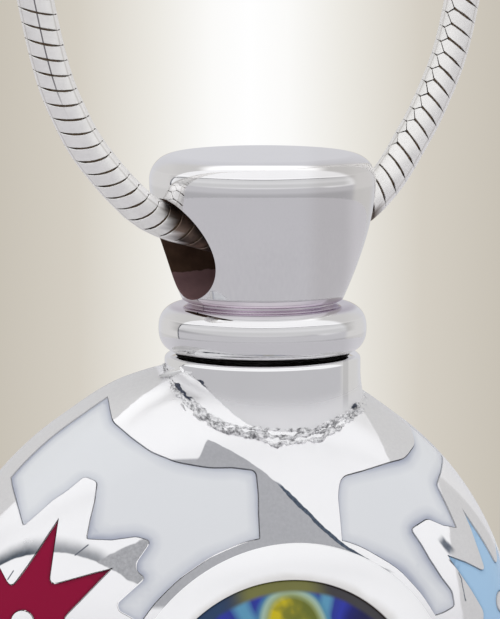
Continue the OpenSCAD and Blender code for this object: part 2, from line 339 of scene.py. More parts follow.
def round_upper_edges(piece, top, width, segments, within=math.inf):
    """Rounds the edges between a flat piece's upper face and its walls, out to a distance from the middle."""
    points = piece.data.vertices
    walls = set()
    for face in piece.data.polygons:
        if abs(face.normal.z) < 0.5:
            walls.update(face.edge_keys)
    open_mesh(piece)
    bpy.ops.mesh.select_all(action="DESELECT")
    bpy.ops.mesh.select_mode(type="EDGE")
    close_mesh()
    for edge in piece.data.edges:
        ends = [points[i].co for i in edge.vertices]
        high = all(end.z > top - 0.001 for end in ends)
        edge.select = high and edge.key in walls and max(math.hypot(*end[:2]) for end in ends) < within
    bpy.ops.object.mode_set(mode="EDIT")
    bpy.ops.mesh.bevel(offset=width, segments=segments, profile=0.5, affect="EDGES", clamp_overlap=True)
    close_mesh()


def hand_cut(outline, step_length, amount, seed):
    """An outline cut by hand: its edges in short steps, each a little off the line."""
    cut = []
    for a, b in zip(outline, outline[1:] + outline[:1]):
        a, b = Vector(a).to_2d(), Vector(b).to_2d()
        n = max(1, round((b - a).length / step_length))
        across = Vector((a.y - b.y, b.x - a.x)).normalized()
        for i in range(n):
            p = a.lerp(b, i / n)
            off = noise.noise(Vector((p.x * 0.9, p.y * 0.9, seed))) * amount
            cut.append(p + across * (off if i else 0))
    return cut


def rounded(outline, *radii):
    """An outline with its corners rounded, by each radius in turn."""
    smooth = []
    count = len(outline)
    for i in range(count):
        radius = radii[i % len(radii)]
        before, here, after = (Vector(outline[(i + k) % count]).to_2d() for k in (-1, 0, 1))
        back = (before - here) * min(0.45, radius / max((before - here).length, 1e-6))
        ahead = (after - here) * min(0.45, radius / max((after - here).length, 1e-6))
        for t in (0, 0.25, 0.5, 0.75, 1):
            smooth.append(here + back * (1 - t) ** 2 + ahead * t ** 2)
    return smooth


def smooth_step(value, start, end):
    """0 at start, 1 at end, smooth between and level beyond."""
    t = max(0, min(1, (value - start) / (end - start)))
    return t * t * (3 - 2 * t)


def carry(piece, name, value_at):
    """Lets a piece carry a value at each of its points, which its finish reads under a name."""
    values = piece.data.attributes.new(name, "FLOAT_VECTOR", "POINT")
    for vertex in piece.data.vertices:
        values.data[vertex.index].vector = value_at(vertex.co)


# Where things are

def polar(centre, r, degrees):
    a = math.radians(degrees)
    return Vector((centre[0] + r * math.cos(a), centre[1] + r * math.sin(a)))


def circle(centre, r, step_angle):
    """Points of a circle, one at each step of degrees."""
    return [polar(centre, r, a) for a in range(0, 360, step_angle)]


def section_at(s):
    """Radius, height and tilt of the body's surface at length s from the middle of the front."""
    if s < S_DOME:
        a = s / DOME_R
        return DOME_R * math.sin(a), DOME_H - DOME_R + DOME_R * math.cos(a), a
    a = RIM_A - (s - S_DOME) / RIM_R
    if a > -RIM_A:
        return RIM_C + RIM_R * math.cos(a), RIM_R * math.sin(a), math.pi / 2 - a
    b = max(0, math.pi / 2 - RIM_A - (-RIM_A - a) * RIM_R / DOME_R)
    return DOME_R * math.sin(b), DOME_R - DOME_H - DOME_R * math.cos(b), math.pi - b


def flat(point):
    """The flat place of a point seen from straight in front of the dome."""
    r = Vector(point).length
    return Vector(point) * (DOME_R * math.asin(r / DOME_R) / r)


HANG = (Matrix.Translation((0, 0, BODY_Z)) @ Matrix.Rotation(FLASK_TURN, 4, "Z")
        @ Matrix.Translation((-BODY_SHIFT, 0, 0)) @ Matrix.Rotation(math.pi / 2, 4, "X"))


def swell_at(x, y):
    """How far the body swells outwards beside the neck, at a place seen from the front."""
    aside = abs(math.degrees(math.atan2(x, y)) - SWELL_MIDDLE)
    return SWELL * (1 - smooth_step(aside, SWELL_FULL, SWELL_END)) * smooth_step(math.hypot(x, y), 6.5, 9.5)


def laid(u, v, w):
    """Where a point at height w over the flat front comes on the dome, and how the surface faces there."""
    s = math.hypot(u, v)
    r, h, tilt = section_at(s)
    along = Vector((u / s, v / s)) if s > 1e-9 else Vector((1, 0))
    facing = Vector((along.x * math.sin(tilt), along.y * math.sin(tilt), math.cos(tilt)))
    place = Vector((along.x * r, along.y * r, h)) + facing * w
    swell = swell_at(place.x, place.y)
    return place + Vector((along.x * swell, along.y * swell, 0)), facing


def lay_on_front(piece, top):
    """Bends a flat piece on to the domed front. Its upper face takes the smooth facing of the dome."""
    facings = []
    for vertex in piece.data.vertices:
        u, v, w = vertex.co
        place, facing = laid(u, v, w)
        vertex.co = HANG @ place
        facings.append(HANG.to_3x3() @ facing if w > top - 0.0005 else Vector((0, 0, 0)))
    return facings


def star_middle(star):
    return polar(GLASS_AT, star.away, star.bearing)


def star_outline(star, corners):
    """Outline through a star's corners, given by angle and radius, turned or mirrored with the star."""
    angles = [angle if star.side > 0 else 180 - angle for angle, r in corners]
    return [polar(star_middle(star), r, star.turn + angle) for angle, (_, r) in zip(angles, corners)]


def star_corners(star):
    """Tips and notches of a star's enamel in turn."""
    return [corner for arm in star.arms for corner in (arm[:2], arm[2:])]


def bearing_of(out):
    """Bearing of a direction from the flask's front, round the neck's axis."""
    return math.degrees(math.remainder(math.atan2(out.y, out.x) - FLASK_TURN + math.pi / 2, 2 * math.pi))


# Finishes

class Field:
    """A number or colour that varies over a surface: the output of a shader node, with plain arithmetic."""

    def __init__(self, tree, socket):
        self.tree, self.socket = tree, socket

    def __add__(self, other):
        return maths("ADD", self, other)

    def __sub__(self, other):
        return maths("SUBTRACT", self, other)

    def __rsub__(self, other):
        return maths("SUBTRACT", other, self)

    def __mul__(self, other):
        return maths("MULTIPLY", self, other)

    def __truediv__(self, other):
        return maths("DIVIDE", self, other)

    def __pow__(self, other):
        return maths("POWER", self, other)

    def __abs__(self):
        return maths("ABSOLUTE", self)


def tree_of(*values):
    """The node tree of the first of these values that varies."""
    return next(value.tree for value in values if isinstance(value, Field))


def feed(socket, value):
    """Links a field to a socket, or sets a number or a colour on it."""
    if isinstance(value, Field):
        value.tree.links.new(value.socket, socket)
    elif value is not None:
        socket.default_value = (*value, 1) if isinstance(value, tuple) else value


def coat(shader, colour, rough=None, metallic=None, gloss=None):
    """Gives a shader its colour and, where they are given, how rough, metallic and glossy it is."""
    feed(shader["Base Color"], colour)
    feed(shader["Roughness"], rough)
    feed(shader["Metallic"], metallic)
    feed(shader["Specular IOR Level"], gloss)


def finish_of(name):
    """A new material with its shader's inputs, and its object coordinates."""
    material = bpy.data.materials.new(name)
    material.use_nodes = True
    tree = material.node_tree
    place = Field(tree, tree.nodes.new("ShaderNodeTexCoord").outputs["Object"])
    return material, tree.nodes["Principled BSDF"].inputs, place


def maths(operation, a, b=None):
    tree = tree_of(a, b)
    node = tree.nodes.new("ShaderNodeMath")
    node.operation = operation
    feed(node.inputs[0], a)
    feed(node.inputs[1], b)
    return Field(tree, node.outputs[0])


def split(where):
    """The three parts of a place or direction."""
    node = where.tree.nodes.new("ShaderNodeSeparateXYZ")
    feed(node.inputs["Vector"], where)
    return [Field(where.tree, part) for part in node.outputs]


def carried(place, name, output="Vector"):
    """What a piece carries at its points under a name."""
    node = place.tree.nodes.new("ShaderNodeAttribute")
    node.attribute_name = name
    return Field(place.tree, node.outputs[output])


def grain(where, scale, detail=4.0, roughness=0.5, stretch=(1, 1, 1)):
    """Noise of a size, read at a place."""
    tree = where.tree
    mapping = tree.nodes.new("ShaderNodeMapping")
    mapping.inputs["Scale"].default_value = stretch
    feed(mapping.inputs["Vector"], where)
    texture = tree.nodes.new("ShaderNodeTexNoise")
    texture.inputs["Scale"].default_value = scale
    texture.inputs["Detail"].default_value = detail
    texture.inputs["Roughness"].default_value = roughness
    tree.links.new(mapping.outputs["Vector"], texture.inputs["Vector"])
    return Field(tree, texture.outputs["Fac"])


def ramp(value, *stops):
    """Colours or greys along a value."""
    node = value.tree.nodes.new("ShaderNodeValToRGB")
    while len(node.color_ramp.elements) < len(stops):
        node.color_ramp.elements.new(0.5)
    for element, (at, colour) in zip(node.color_ramp.elements, stops):
        element.position = at
        element.color = (*colour, 1) if isinstance(colour, tuple) else (colour, colour, colour, 1)
    feed(node.inputs["Fac"], value)
    return Field(value.tree, node.outputs["Color"])


def mottled(noise_value, low, high):
    """Colours or greys from low to high, as mottled as a noise."""
    return ramp(noise_value, (0.3, low), (0.7, high))


def mixed(share, a, b, how="MIX"):
    """Colour a with a share of colour b."""
    tree = tree_of(share, a, b)
    node = tree.nodes.new("ShaderNodeMix")
    node.data_type, node.blend_type = "RGBA", how
    for socket, value in zip((node.inputs[0], node.inputs[6], node.inputs[7]), (share, a, b)):
        feed(socket, value)
    return Field(tree, node.outputs[2])


def dimmed(share, colour, by):
    """A colour multiplied by another where the share is 1."""
    return mixed(share, colour, by, "MULTIPLY")


def step(value, start, end):
    """0 below start, 1 above end, smooth between."""
    node = value.tree.nodes.new("ShaderNodeMapRange")
    node.interpolation_type = "SMOOTHSTEP"
    node.inputs["From Min"].default_value = start
    node.inputs["From Max"].default_value = end
    feed(node.inputs["Value"], value)
    return Field(value.tree, node.outputs["Result"])


def band(value, at, wide):
    """1 at a value, falling to 0 at a distance of wide from it."""
    return 1 - step(abs(value - at), wide * 0.5, wide)


def away_from(x, y):
    """Length of x and y together."""
    return maths("SQRT", x * x + y * y)


def bump(shader, height, strength, distance):
    node = height.tree.nodes.new("ShaderNodeBump")
    node.inputs["Strength"].default_value = strength
    node.inputs["Distance"].default_value = distance
    feed(node.inputs["Height"], height)
    height.tree.links.new(node.outputs["Normal"], shader["Normal"])


def height_of(place):
    """Height above the middle of the body, in millimetres."""
    return split(place)[2] * (1 / MM) - BODY_Z


def across_of(place):
    """Distance from the cap's axis, in millimetres, along the photographer's right hand."""
    x, y, _ = split(place)
    return x * (math.cos(VIEW_TURN) / MM) + y * (math.sin(VIEW_TURN) / MM)


def stroke(u, v, start, end, wide):
    """1 along a short straight stroke from start to end, soft at its sides."""
    start, way = Vector(start), Vector(end) - Vector(start)
    long, way = way.length, way.normalized()
    along = u * way.x + v * way.y - start.dot(way)
    beside = abs(u * -way.y + v * way.x + (start.x * way.y - start.y * way.x))
    return step(beside, wide, wide * 0.4) * step(along, -wide, wide) * step(along, long + wide, long - wide)


def silver(name, colour, rough_low, rough_high, wave=200, wave_height=0.0012, scratch_height=0.0002):
    """Polished silver: a sheen hazed in places, slow waves from the polishing wheel and fine scratches."""
    material, shader, place = finish_of(name)
    haze = grain(place, 500, 5, 0.6)
    tint = mottled(haze, tuple(0.97 * c for c in colour), colour)
    coat(shader, tint, ramp(haze, (0.3, rough_low), (0.75, rough_high)), 1)
    scratches = grain(place, 9000, 2, 0.7, (1, 1, 0.15)) * scratch_height
    bump(shader, grain(place, wave, 1) * wave_height + scratches, 1.0, MM)
    return material, shader, place, tint


def cap_finish():
    """The cap's silver, with painted shade by how it faces and under its edges, a painted dark band down the
    right of the cone, and a painted purple-grey reflection in streaks at its waist.
    """
    material, shader, place, tint = silver("cap_polish", (0.95, 0.945, 0.955), 0.03, 0.07)
    height, across = height_of(place), across_of(place)
    facing = Field(place.tree, place.tree.nodes.new("ShaderNodeTexCoord").outputs["Normal"])
    # 0 where the metal faces down, 0.5 where it stands upright, 1 where it faces up
    lean = (split(facing)[2] + 1) * 0.5
    # Painted shade by how the surface faces: darker where it faces down and where it leans up, most near the
    # middle across
    painted_facing_shade = ramp(lean, (0.0, 0.78), (0.475, 0.78), (0.49, 1.0), (0.72, 1.0), (0.74, 0.90), (0.90, 0.90),
                  (1.0, 1.0))
    middle = step(abs(across), 3.15, 2.6)
    shaded = dimmed(middle * 0.6 + 0.4, tint, painted_facing_shade)
    # Painted shade in bands under the cap's edges
    painted_shade_under_edge = ramp(lean, (0.533, 1.0), (0.563, 0.62), (0.60, 0.60), (0.64, 0.72), (0.685, 0.64),
                      (0.70, 0.64), (0.72, 1.0))
    shaded = dimmed(middle, shaded, painted_shade_under_edge)
    # A painted dark band down the right of the cone
    painted_dark_band = band(across, 2.75, 1.5) * step(height, CONE_FOOT, CONE_FOOT + 0.4)
    shaded = dimmed(painted_dark_band, shaded, (0.91, 0.90, 0.89))
    # Painted purple-grey reflection in streaks at the waist, with painted shade to its left and right
    painted_waist_reflection = ramp(grain(place, 900, 2, 0.6, (0.25, 0.25, 3)), (0.35, (0.63, 0.575, 0.63)),
                   (0.65, (0.96, 0.92, 0.96)))
    painted_waist_reflection = dimmed(step(across, -0.7, -2.2), painted_waist_reflection, (0.70, 0.66, 0.68))
    painted_waist_reflection = dimmed(step(across, 1.0, 2.0), painted_waist_reflection, (0.86, 0.85, 0.88))
    waist = band(height, (RING_TOP + CONE_FOOT) / 2, (CONE_FOOT - RING_TOP) / 2 + 0.16)
    coat(shader, mixed(waist, shaded, painted_waist_reflection))
    return material


def painted_path_reflection(u, v, rough_edge):
    """Where the painted grey reflection below the neck lies, and the dark line along its right side."""
    below = 6.2 - v
    right = u - (below * 0.876 + below ** 3 * 0.079 + 1.05 + rough_edge)
    top = step(u, -2.3, -1.8) * 0.6 + 7.88
    foot = step(u, -0.3, 0.3) * 0.7
    grey = (step(right, 0.03, -0.03) * step(top - v, -0.03, 0.06) * step(u, -4.5, -4.2)
            * step(v - foot, 3.0, 3.2))
    wide = band(v, 5.6, 1.7) * 0.075 + 0.02
    dark = step(abs(right) - wide, 0.02, -0.02) * step(v, 7.1, 6.8) * step(v, 3.8, 4.1) * step(u, -0.5, 0)
    return grey, dark


def painted_reflection_band(u, v, wobble):
    """How far a painted blue-black reflection darkens the silver by the upper left star, down to an arched
    edge.
    """
    over = v - 5.03 + (u + 7.5) ** 2 * 0.14 + wobble * 0.16
    shade = step(over, 0.62, 0.02) * step(over, -0.06, 0.0) * step(u, -5.0, -5.8)
    return shade * (step(u, -7.6, -8.2) * 0.24 + 0.72)


def painted_grey_wedge(u, v, rough_edge):
    """Where a painted grey reflection lies by the upper left star: a wedge with its point to the left."""
    inwards = u + 5.94
    wedge = inwards * 0.50 + rough_edge - abs(v - 4.65 + inwards * 0.06)
    return step(wedge, -0.03, 0.04) * step(u, -3.9, -4.0) * step(v, 3.7, 3.8)


def painted_grey_fields(u, v, rough_edge):
    """Where painted grey reflections lie, as non-metallic grey: above the left cell, right of the neck, by
    the right star's upper arms.
    """
    slant = v - 9.77 - (u + 4.75) * 0.72
    above_cell = step(slant + rough_edge, -0.02, 0.05) * step(u, -2.9, -3.1)
    side = u - 4.12 + (v - 9.77) * 0.27
    by_neck = step(side + rough_edge, -0.02, 0.05) * step(v, 7.0, 7.1) * step(u, 7.0, 6.8)
    outer = u - 6.85 + step(v, 4.2, 3.9) * ((v - 4.2) * 0.12) + rough_edge
    # A light strip is left by the rim
    strip = away_from(u, v) + maths("MAXIMUM", v - 4.6, 0) * 0.34 - 10.65
    by_star = step(outer, -0.03, 0.08) * step(v, 7.1, 7.0) * step(v, -2, -1) * step(strip, 0.15, -0.10)
    return maths("MINIMUM", above_cell + by_neck + by_star, 1)


def front_finish():
    """The worked front's satin silver: a painted grey reflection below the neck with a dark line along it,
    painted grey reflections as non-metallic fields by the rim, a painted blue-black reflection band and a
    painted grey reflection wedge by the upper left star, dark spots by the right one."""
    material, shader, place, tint = silver("front_polish", (0.965, 0.965, 0.975), 0.20, 0.28, 170, 0.003)
    u, v, _ = split(carried(place, "on_front"))
    fine = grain(place, 9000, 3, 0.7)
    wobble = grain(place, 1700, 3) - 0.5
    rough_edge = wobble * 0.25
    blue_black = mottled(fine, (0.02, 0.035, 0.06), (0.10, 0.13, 0.18))

    # Painted grey reflection below the neck, and a dark line along it
    grey, dark = painted_path_reflection(u, v, rough_edge)
    colour = mixed(grey, tint, mottled(fine, (0.395, 0.40, 0.42), (0.445, 0.45, 0.47)))
    colour = mixed(dark, colour, blue_black)
    # Painted blue-black reflection in an arched band by the upper left star
    painted_band_colour = mottled(fine, (0.01, 0.02, 0.035), (0.06, 0.085, 0.12))
    colour = mixed(painted_reflection_band(u, v, wobble), colour, painted_band_colour)
    for start, end in SCRATCHES:
        colour = mixed(stroke(u, v, start, end, 0.03), colour, (0.12, 0.13, 0.16))
    # Painted grey reflection in a wedge by the upper left star
    painted_wedge_colour = mottled(fine, (0.33, 0.335, 0.35), (0.47, 0.475, 0.49))
    colour = mixed(painted_grey_wedge(u, v, rough_edge), colour, painted_wedge_colour)
    # Painted grey reflections in fields by the rim, made non-metallic
    painted_field_share = painted_grey_fields(u, v, rough_edge)
    colour = mixed(painted_field_share, colour, mottled(fine, (0.66, 0.655, 0.655), (0.71, 0.705, 0.70)))
    for start, end, wide in SPOTS:
        colour = mixed(stroke(u + rough_edge, v, start, end, wide) * 0.9, colour, blue_black)
    coat(shader, colour, metallic=painted_field_share * -0.45 + 0.45)
    return material


def bezel_finish():
    """The bezel's soft silver, with painted warm grey shade along the glass."""
    material, shader, place, tint = silver("bezel_polish", (0.90, 0.90, 0.91), 0.28, 0.36, 170, 0.004, 0.0003)
    x, y, _ = split(carried(place, "from_middle"))
    cloud = (grain(place, 700, 3) - 0.5) * 0.3
    # Painted warm grey shade along the glass, with a cloudy edge
    lip = step(away_from(x, y) + cloud, GLASS_R + 0.32, GLASS_R + 0.04)
    coat(shader, dimmed(lip, tint, (0.80, 0.79, 0.77)))
    return material


def neck_finish():
    """The neck's silver, polished above and more and more satin towards the solder, with a painted thin grey
    reflection line.
    """
    material, shader, place, tint = silver("neck_polish", (0.93, 0.93, 0.935), 0.03, 0.06)
    spread = split(carried(place, "towards_foot"))[0]
    # A painted reflection: a thin grey line right of the middle, fading out towards the foot
    line = band(across_of(place), 2.74, 0.12) * step(spread, 0.9, 0.5) * 0.26
    coat(shader, mixed(line, tint, (0.25, 0.25, 0.27)), step(spread, 0.02, 0.9) * 0.5 + 0.05)
    return material


def solder_finish():
    """Crumbly grey solder with pale grains, painted shadow at the neck's foot on the left and a small dark
    spot on the right.
    """
    material, shader, place = finish_of("solder_grain")
    crumbs = grain(place, 5200, 4, 0.7)
    painted_shadow_and_spot = split(carried(place, "painted_shadow_and_spot"))[0]
    pale = ramp(crumbs, (0.36, (0.18, 0.18, 0.19)), (0.45, (0.52, 0.52, 0.53)), (0.58, (0.92, 0.92, 0.93)))
    # Painted shadow at the neck's foot, and a small dark spot
    coat(shader, mixed(painted_shadow_and_spot, pale, (0.06, 0.07, 0.10)), 0.42, 0.6)
    bump(shader, crumbs, 0.9, 0.05 * MM)
    return material


def chain_finish():
    """Satin silver of the chain's plates, with a painted highlight along its flanks, a fine dark line along
    part of the left side and painted brown shade with painted glints inside the bore."""
    material, shader, place = finish_of("chain_satin")
    haze = grain(place, 1800, 4, 0.6)
    facing, beside, mark = split(carried(place, "round_chain"))
    aside = abs(beside)
    tint = mottled(haze, (0.86, 0.85, 0.83), (0.94, 0.93, 0.91))
    # Painted highlight along the flanks, with a thin darker line where it begins
    tint = dimmed(band(aside, 0.83, 0.05) * 0.8, tint, (0.80, 0.79, 0.78))
    tint = mixed(step(aside, 0.83, 0.90) * 0.6, tint, (0.97, 0.96, 0.95))
    line = band(beside, 0, 0.05) * step(facing, 0, 0.1) * maths("MAXIMUM", mark, 0)
    tint = mixed(line, tint, (0.20, 0.19, 0.20))
    # Painted shade inside the bore, dark brown with painted glints
    shade = maths("MAXIMUM", mark * -1, 0)
    painted_shade_with_glints = ramp(grain(place, 1100, 3), (0.48, (0.025, 0.016, 0.011)), (0.72, (0.30, 0.21, 0.16)))
    coat(shader, mixed(shade * 0.95, tint, painted_shade_with_glints), mottled(haze, 0.46, 0.54), 1)
    bump(shader, grain(place, 6000, 2), 0.5, 0.004 * MM)
    return material


def enamel(name, colour, edge_colour, gloss):
    """Glassy enamel, a little darker and cooler along the silver: partly where it thins, partly painted shade
    from the silver's walls.
    """
    material, shader, place = finish_of(name)
    # Darker towards the edge: the enamel thinning there, and painted shade from the silver's walls
    depth = carried(place, "from_edge", "Fac") + (grain(place, 260, 3, 0.5) - 0.45) * 1.1
    between = tuple(0.3 * e + 0.7 * c for e, c in zip(edge_colour, colour))
    coat(shader, ramp(depth, (0.0, edge_colour), (0.3, between), (0.7, colour)), 0.12, gloss=gloss)
    bump(shader, grain(place, 1200, 2), 0.25, 0.004 * MM)
    return material


def dull(name, colour, rough, metallic):
    """A dull dark surface, mottled: brown in grooves, and painted shadow in the seam."""
    material, shader, place = finish_of(name)
    haze = grain(place, 1500, 4, 0.6)
    coat(shader, mottled(haze, tuple(0.7 * c for c in colour), colour), mottled(haze, rough, rough + 0.15),
         metallic)
    return material


def bore_finish():
    """The bore's wall: painted dark brown shade, and a painted purple reflection low down."""
    material, shader, place = finish_of("bore_brown")
    ragged = height_of(place) + grain(place, 2500, 3) * 0.2
    cloud = grain(place, 900, 4, 0.6)
    # Painted dark brown shade, and a painted purple reflection below a ragged line low down
    brown = mottled(cloud, (0.07, 0.038, 0.025), (0.20, 0.12, 0.08))
    purple = mottled(cloud, (0.34, 0.20, 0.21), (0.52, 0.32, 0.33))
    low = step(ragged, CAP_BORE_Z - 0.84, CAP_BORE_Z - 0.88)
    coat(shader, mixed(low, brown, purple), 0.35, 0.4)
    return material


def glass_colours():
    """Dark blue art glass with light blue rays and yellow blobs in pale rings, under a clear surface."""
    material, shader, place = finish_of("art_glass")
    x, y, _ = split(carried(place, "from_middle"))
    bend = (grain(place, 420, 2) - 0.5) * 0.9
    bearing = maths("ARCTAN2", x + bend, y + (grain(place, 300, 2) - 0.5) * 0.9)
    folds = (maths("COSINE", (bearing - math.radians(18)) * 9) + 1) * 0.5
    colour = ramp(folds, (0.0, (0.003, 0.003, 0.060)), (0.30, (0.006, 0.008, 0.14)),
                  (0.60, (0.022, 0.034, 0.36)), (0.86, (0.020, 0.035, 0.28)), (0.99, (0.10, 0.30, 0.46)))
    for middle_x, middle_y, wide, high in GLASS_BLOBS:
        off_x = (x + bend * 0.35 - middle_x) / wide
        away = away_from(off_x, (y - middle_y) / high)
        ring = ramp(away * 0.5, (0.46, (0.30, 0.36, 0.16)), (0.53, (0.34, 0.47, 0.38)),
                    (0.60, (0.07, 0.24, 0.36)))
        colour = mixed(step(away, 1.35, 1.1), colour, ring)
        tone = grain(place, 1300, 2) - off_x * 0.30
        core = ramp(tone, (0.40, (0.13, 0.15, 0.02)), (0.52, (0.20, 0.20, 0.02)), (0.70, (0.56, 0.45, 0.008)))
        colour = mixed(1 - ramp(away * 0.5, (0.0, 0), (0.40, 0), (0.48, 1)), colour, core)
    # The rim: painted shadow and reflection of the bezel's inner wall, dark grey, olive in the middle and
    # blue to the left
    edge = mixed(step(abs(x + 0.3), 1.9, 0.9), (0.045, 0.042, 0.048), (0.17, 0.17, 0.05))
    edge = mixed(step(x, -1.2, -2.4), edge, (0.02, 0.05, 0.12))
    rim = step(away_from(x, y) - (bend * 0.12 + (GLASS_R - 0.34)), -0.05, 0.12)
    coat(shader, mixed(rim, colour, edge), 0.10, gloss=0.2)
    return material


polished_silver = silver("mirror_polish", (0.93, 0.925, 0.935), 0.03, 0.07)[0]
cap_silver = cap_finish()
front_silver = front_finish()
bezel_silver = bezel_finish()
neck_silver = neck_finish()
chain_silver = chain_finish()
solder_silver = solder_finish()
bore_brown = bore_finish()
groove_brown = dull("groove_brown", (0.26, 0.18, 0.11), 0.5, 0)
painted_seam_shadow = dull("painted_seam_shadow", (0.03, 0.025, 0.022), 0.4, 0.5)
glass_finish = glass_colours()
ENAMELS = {
    "white_enamel": enamel("enamel_white", (0.80, 0.82, 0.84), (0.42, 0.45, 0.54), 0.3),
    "crimson_enamel": enamel("enamel_crimson", (0.285, 0.003, 0.038), (0.095, 0.003, 0.018), 0.1),
    "sky_enamel": enamel("enamel_sky", (0.40, 0.61, 0.83), (0.27, 0.44, 0.64), 0.15),
}


# Setting pieces in place

def set_piece(piece, body, slot, material, *nodes, smooth=40, facings=None):
    """Brings a finished piece to metres, gives it its finish and lets it ride with its body."""
    if not piece.data.materials:
        piece.data.materials.append(material)
    select_only(piece)
    bpy.ops.object.shade_smooth_by_angle(angle=math.radians(smooth))
    piece.scale = (MM, MM, MM)
    bpy.ops.object.transform_apply(location=True, rotation=True, scale=True)
    if facings:
        piece.data.normals_split_custom_set_from_vertices(facings)
    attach(piece, body)
    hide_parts(*nodes)


def add_materials(piece, *materials):
    for material in materials:
        piece.data.materials.append(material)


# Cap

def make_cap():
    """Conical stopper with the chain's bore through it, a waist, a round collar ring and a plain stem."""
    ring_foot = NECK_TOP + SEAM
    stem_foot = ring_foot - STEM_L
    stem_round, foot_round = 0.25, 0.12
    profile = [(0, stem_foot), (STEM_R - stem_round, stem_foot), (STEM_R, stem_foot + stem_round),
               (STEM_R, ring_foot)]
    profile += squarer_arc(RING_R - RING_H / 2, ring_foot + RING_H / 2, RING_H / 2, 2.35, 36)
    profile += [(WAIST_R + 0.1, RING_TOP), (WAIST_R, RING_TOP + 0.05), (WAIST_R, CONE_FOOT - 0.02),
                (WAIST_R + 0.04, CONE_FOOT)]
    profile += arc(CONE_FOOT_R - foot_round + 0.04, CONE_FOOT + foot_round, foot_round, -90, -24, 5)
    # The wall swells a little on its way up to the round shoulder
    profile += bow(Vector(profile[-1]), CAP_BULGE, Vector((CAP_R, CAP_TOP - CAP_ROUND)), 24)[1:-1]
    profile += arc(CAP_R - CAP_ROUND, CAP_TOP - CAP_ROUND, CAP_ROUND, 0, 90, 28)
    profile += [((CAP_R - CAP_ROUND) * (1 - i / 8), CAP_TOP) for i in range(1, 9)]
    cap = turned("stopper", [(r, z + BODY_Z) for r, z in profile], 192)

    select_only()
    bpy.ops.mesh.primitive_cylinder_add(vertices=96, radius=CAP_BORE_R, depth=4 * CAP_R, end_fill_type="NGON",
                                        location=(0, 0, CAP_BORE_Z + BODY_Z), rotation=(0, math.pi / 2, 0))
    drill = bpy.context.object
    bpy.ops.transform.resize(value=(1, BORE_WIDER, 1))
    for piece in (cap, drill):
        add_materials(piece, cap_silver, bore_brown, painted_seam_shadow)
    for face in drill.data.polygons:
        face.material_index = 1
    # Painted shadow of the seam, broadest on the photographer's side and gone at the flanks
    towards = Vector((math.sin(VIEW_TURN), -math.cos(VIEW_TURN)))
    for face in cap.data.polygons:
        out = face.center.to_2d()
        ahead = max(0, out.normalized().dot(towards)) if out.length > 0.01 else 0
        low = face.center.z - BODY_Z < ring_foot + 0.01 + 0.05 * ahead
        face.material_index = 2 if low and out.length > STEM_R else 0
    combine(cap, drill)
    set_piece(cap, "cap", "polished_silver", cap_silver, "cap", smooth=30)


# Flask

def body_section(inset, start, end, steps):
    """The body's profile between two lengths from the middle of the front, set in by an amount."""
    points = []
    for i in range(steps + 1):
        r, h, tilt = section_at(start + (end - start) * i / steps)
        points.append((max(0, r - inset * math.sin(tilt)), h - inset * math.cos(tilt)))
    return points


def make_flask_back():
    """The flask's back and rim, sunk in front to carry the worked front."""
    s_whole = 2 * (S_DOME + RIM_A * RIM_R)
    sunk = 0.34
    profile = body_section(sunk, 0, S_FRONT - 0.02, 48) + body_section(0, S_FRONT, s_whole, 72)
    back = turned("flask_back", profile, 192)
    for vertex in back.data.vertices:
        out = vertex.co.to_2d()
        if out.length > 1:
            vertex.co += (out.normalized() * swell_at(*out)).to_3d()
    settle(back, HANG)
    select_only()
    bpy.ops.mesh.primitive_cylinder_add(vertices=48, radius=OPENING_R, depth=8, location=(0, 0, BODY_Z + 11))
    combine(back, bpy.context.object)
    set_piece(back, "vessel", "polished_silver", polished_silver, "vessel")


def neck_footprint():
    """The flat outline of the opening that the neck covers."""
    outline = []
    for i in range(0, 360, 6):
        depth = OPENING_R * math.cos(math.radians(i))
        across = BODY_SHIFT + OPENING_R * math.sin(math.radians(i))
        a = math.asin(depth / RIM_R)
        up = math.sqrt((RIM_C + RIM_R * math.cos(a)) ** 2 - across ** 2)
        outline.append(Vector((across, up)).normalized() * (S_DOME + RIM_R * (RIM_A - a)))
    return outline


def silver_outlines():
    """The flat outlines of the silver on the front: patch, flange and star borders."""
    patch = [(x + DRAWN_FROM, y) for x, y in PATCH]
    outlines = [hand_cut(rounded(patch, 0.25), 0.6, 0.10, 3.7)]
    outlines.append([flat(polar(GLASS_AT, FLANGE_R + 0.03 * noise.noise(Vector((a / 9, 0, 1))), a))
                     for a in range(0, 360, 3)])
    for i, star in enumerate(STARS):
        outlines.append(hand_cut(rounded(star_outline(star, star.border), 0.13), 0.6, 0.10, 11.3 + i))
    return outlines


def middle_of(piece):
    faces = piece.data.polygons
    return sum((face.center * face.area for face in faces), Vector()) / sum(face.area for face in faces)


def cell_pockets():
    """Solids for the white cells: what the silver's outlines leave of the enamel's field."""
    field = plate("field", circle((0, 0), S_EDGE, 2), POCKET_LOW, POCKET_HIGH)
    for outline in silver_outlines():
        combine(field, plate("cutter", outline, CUT_LOW, CUT_HIGH))
    select_only(field)
    bpy.ops.mesh.separate(type="LOOSE")
    parts = list(bpy.context.selected_objects)
    largest = sorted(parts, key=lambda part: -sum(face.area for face in part.data.polygons))[:len(CELLS)]
    for stray in parts:
        if stray not in largest:
            bpy.data.objects.remove(stray)
    pockets = []
    for piece in largest:
        middle = middle_of(piece) - Vector((*GLASS_AT, 0))
        angle = math.degrees(math.atan2(middle.y, middle.x))
        for name, a, b in CELLS:
            if any(a < angle + turn < b for turn in (0, 360)):
                pockets.append((name, piece, "white_enamel"))
    return pockets


